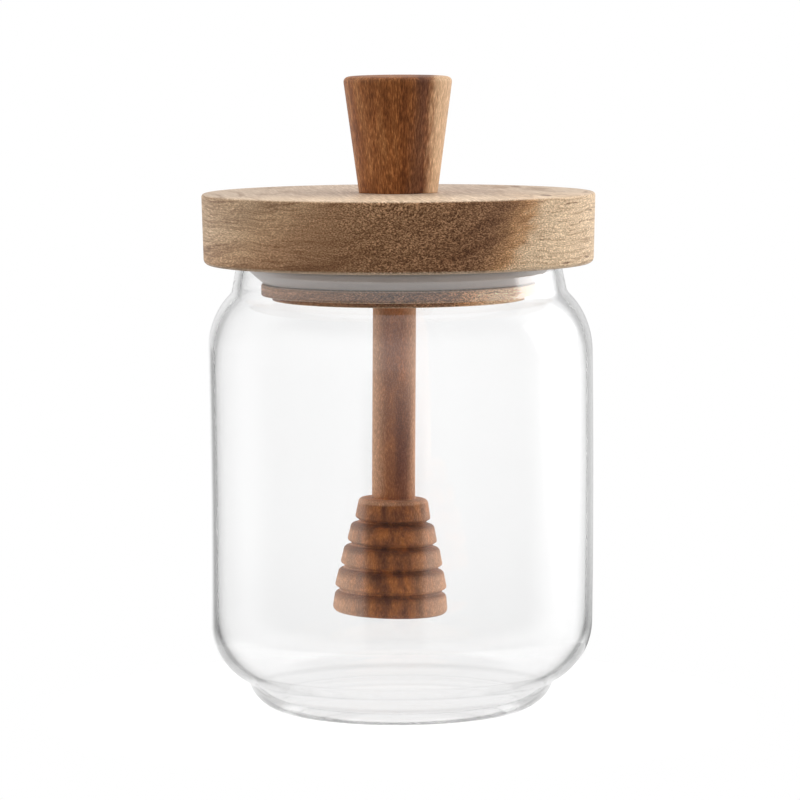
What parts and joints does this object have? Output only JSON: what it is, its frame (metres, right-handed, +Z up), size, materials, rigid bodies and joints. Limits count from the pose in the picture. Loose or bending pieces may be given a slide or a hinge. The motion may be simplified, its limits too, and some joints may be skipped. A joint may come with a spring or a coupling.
{
  "type": "honey pot",
  "caption": "Empty clear glass honey pot with a wooden disc lid, a silicone seal, a tapered wooden knob on top and a ringed wooden honey dipper hanging inside.",
  "frame": {"origin": "centre of the foot, on the surface that the jar stands on", "axes": "+Z up along the jar's axis, -Y towards the viewer of the picture, +X to the viewer's right"},
  "size_m": [0.098, 0.098, 0.1584],
  "materials": {
    "clear_glass": "clear, polished",
    "lid_wood": "oiled, fine satin",
    "silicone": "translucent, satin",
    "knob_wood": "oiled, fine satin",
    "dipper_wood": "bare turned wood"
  },
  "bodies": {
    "root": {"jar_base": "clear_glass", "jar_body": "clear_glass", "jar_neck": "clear_glass", "lid": "lid_wood", "seal_ring": "silicone", "knob": "knob_wood", "dipper": "dipper_wood"}
  },
  "joints": []
}
